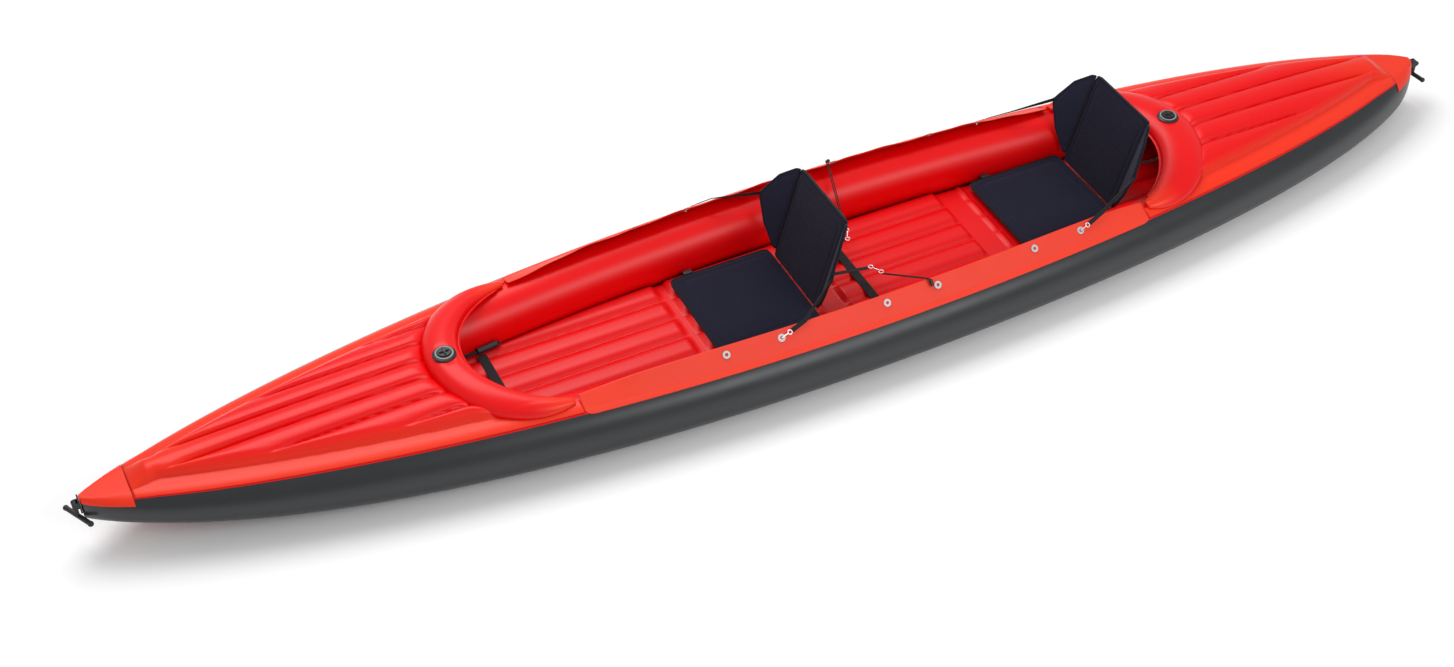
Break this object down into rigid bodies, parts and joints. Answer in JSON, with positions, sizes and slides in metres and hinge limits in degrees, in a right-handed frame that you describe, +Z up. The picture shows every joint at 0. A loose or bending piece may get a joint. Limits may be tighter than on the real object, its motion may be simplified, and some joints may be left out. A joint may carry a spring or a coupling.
{
  "type": "inflatable kayak",
  "caption": "Two-seat inflatable kayak: twin side tubes, ribbed floor, inflated decks with valved coaming arches, folding seats on hooked straps, tip handles",
  "frame": {"origin": "on the ground under the middle of the hull, midway between the outermost points of the two tip handles", "axes": "+X towards the bow, +Y to port, +Z up"},
  "size_m": [4.1746, 0.75, 0.3658],
  "materials": {
    "tube_skin": "satin charcoal coated fabric",
    "red_skin": "satin red coated fabric",
    "strip_skin": "satin orange-red coated fabric",
    "bottom_skin": "matt dark coated fabric",
    "seat_cloth": "dark navy woven cloth",
    "webbing": "black woven webbing",
    "wire": "polished wire",
    "black_plastic": "moulded black",
    "valve_metal": "brushed",
    "pale_plastic": "moulded pale grey"
  },
  "bodies": {
    "hull": {"port_side_tube": "tube_skin", "starboard_side_tube": "tube_skin", "bottom_sheet": "bottom_skin", "floor_chamber": "red_skin", "bow_deck": "red_skin", "stern_deck": "red_skin", "bow_arch": "red_skin", "stern_arch": "red_skin", "bow_cap": "red_skin", "stern_cap": "red_skin", "port_gunwale_strip": "strip_skin", "starboard_gunwale_strip": "strip_skin", "port_eyelets": "pale_plastic", "starboard_eyelets": "pale_plastic", "bow_valve_body": "black_plastic", "bow_valve_spring": "valve_metal", "bow_cap_ring": "pale_plastic", "stern_valve_body": "black_plastic", "stern_valve_spring": "valve_metal", "stern_cap_ring": "pale_plastic", "front_seat_base": "seat_cloth", "rear_seat_base": "seat_cloth", "front_seat_clips": "black_plastic", "rear_seat_clips": "black_plastic", "front_side_hooks": "wire", "rear_side_hooks": "wire", "front_side_straps": "webbing", "rear_side_straps": "webbing", "front_tether_webs": "webbing", "front_tether_hooks": "wire", "front_tether_cords": "webbing", "front_tether_stoppers": "black_plastic", "rear_tether_cords": "webbing", "rear_tether_fittings": "black_plastic", "bow_foot_strap": "webbing", "mid_foot_strap": "webbing", "foot_sleeves": "black_plastic", "foot_side_webs": "webbing", "bow_handle_anchor": "black_plastic", "stern_handle_anchor": "black_plastic"},
    "front_back": {"front_seat_back": "seat_cloth"},
    "front_port_flap": {"front_port_wing": "seat_cloth"},
    "front_starboard_flap": {"front_starboard_wing": "seat_cloth"},
    "rear_back": {"rear_seat_back": "seat_cloth"},
    "rear_port_flap": {"rear_port_wing": "seat_cloth"},
    "rear_starboard_flap": {"rear_starboard_wing": "seat_cloth"},
    "bow_handle": {"bow_handle": "black_plastic"},
    "stern_handle": {"stern_handle": "black_plastic"},
    "bow_stem": {"bow_valve_stem": "valve_metal"},
    "stern_stem": {"stern_valve_stem": "valve_metal"},
    "bow_valve_cap": {"bow_valve_cap": "black_plastic"},
    "stern_valve_cap": {"stern_valve_cap": "black_plastic"}
  },
  "joints": [
    {"name": "front_back_recline", "type": "hinge", "parent": "hull", "child": "front_back", "pos_m": [0.09, 0, 0.0844], "axis": [0, 1, 0], "range_deg": [-10, 52], "deforming": ["front_side_straps", "front_tether_webs"]},
    {"name": "front_port_wing_fold", "type": "hinge", "parent": "front_back", "child": "front_port_flap", "pos_m": [0.09, 0.1254, 0.0844], "axis": [0.2672, 0, -0.9636], "range_deg": [0, 130], "deforming": ["front_side_straps"]},
    {"name": "front_starboard_wing_fold", "type": "hinge", "parent": "front_back", "child": "front_starboard_flap", "pos_m": [0.09, -0.1254, 0.0844], "axis": [-0.2672, 0, 0.9636], "range_deg": [0, 130], "deforming": ["front_side_straps"]},
    {"name": "rear_back_recline", "type": "hinge", "parent": "hull", "child": "rear_back", "pos_m": [-0.872, 0, 0.0844], "axis": [0, 1, 0], "range_deg": [-10, 44], "deforming": ["rear_side_straps", "rear_tether_cords"]},
    {"name": "rear_port_wing_fold", "type": "hinge", "parent": "rear_back", "child": "rear_port_flap", "pos_m": [-0.872, 0.1254, 0.0844], "axis": [0.2672, 0, -0.9636], "range_deg": [0, 130], "deforming": ["rear_side_straps"]},
    {"name": "rear_starboard_wing_fold", "type": "hinge", "parent": "rear_back", "child": "rear_starboard_flap", "pos_m": [-0.872, -0.1254, 0.0844], "axis": [-0.2672, 0, 0.9636], "range_deg": [0, 130], "deforming": ["rear_side_straps"]},
    {"name": "bow_handle_swing", "type": "hinge", "parent": "hull", "child": "bow_handle", "pos_m": [2.0589, 0, 0.1461], "axis": [0, -1, 0], "range_deg": [0, 120]},
    {"name": "bow_valve_press", "type": "slide", "parent": "hull", "child": "bow_stem", "axis": [0, 0, -1], "range_m": [0, 0.005], "stiffness_N_per_m": 400, "springref_m": -0.004, "deforming": ["bow_valve_spring"]},
    {"name": "bow_valve_cap_turn", "type": "hinge", "parent": "hull", "child": "bow_valve_cap", "pos_m": [1.1, 0, 0.2], "axis": [0, 0, 1], "range_deg": [0, 90]},
    {"name": "stern_handle_swing", "type": "hinge", "parent": "hull", "child": "stern_handle", "pos_m": [-2.07437, 0, 0.1314], "axis": [0, 1, 0], "range_deg": [-10, 120]},
    {"name": "stern_valve_press", "type": "slide", "parent": "hull", "child": "stern_stem", "axis": [0, 0, -1], "range_m": [0, 0.005], "stiffness_N_per_m": 400, "springref_m": -0.004, "deforming": ["stern_valve_spring"]},
    {"name": "stern_valve_cap_turn", "type": "hinge", "parent": "hull", "child": "stern_valve_cap", "pos_m": [-1.13, 0, 0.2], "axis": [0, 0, 1], "range_deg": [0, 90]}
  ]
}
